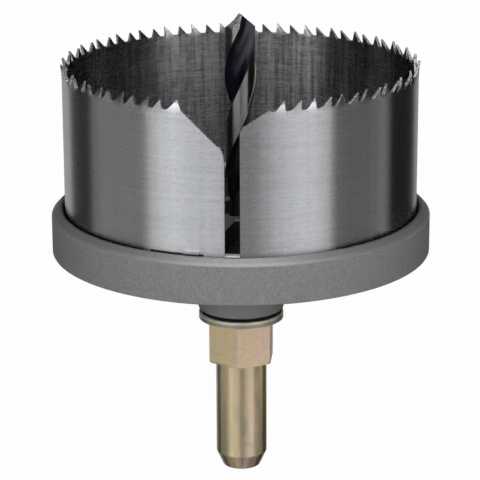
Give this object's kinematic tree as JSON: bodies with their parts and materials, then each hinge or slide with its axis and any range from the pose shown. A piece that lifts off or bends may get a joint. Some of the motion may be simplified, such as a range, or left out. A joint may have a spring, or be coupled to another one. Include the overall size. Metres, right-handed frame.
{
  "type": "hole saw",
  "caption": "Open-ring hole saw: toothed steel strip with a notched open joint, in a round cast holder on a hexagon arbor with a round shank and a twist pilot drill.",
  "frame": {"origin": "centre of the free end of the shank", "axes": "+Z along the tool's axis from the shank to the drill point; -Y is the front, where the ring of the blade is open"},
  "size_m": [0.0732, 0.0732, 0.0916],
  "materials": {
    "blade_steel": "brushed round the ring",
    "cast_alloy": "as cast, dull grey",
    "passivated_steel": "zinc with yellow passivation",
    "black_washer": "black oxide",
    "drill_steel": "black oxide with bright lands",
    "screw_steel": "black oxide"
  },
  "bodies": {
    "root": {"saw_blade": "blade_steel", "blade_holder": "cast_alloy", "arbor": "passivated_steel", "flange_washer": "black_washer", "pilot_drill": "drill_steel", "drill_set_screw": "screw_steel"}
  },
  "joints": []
}
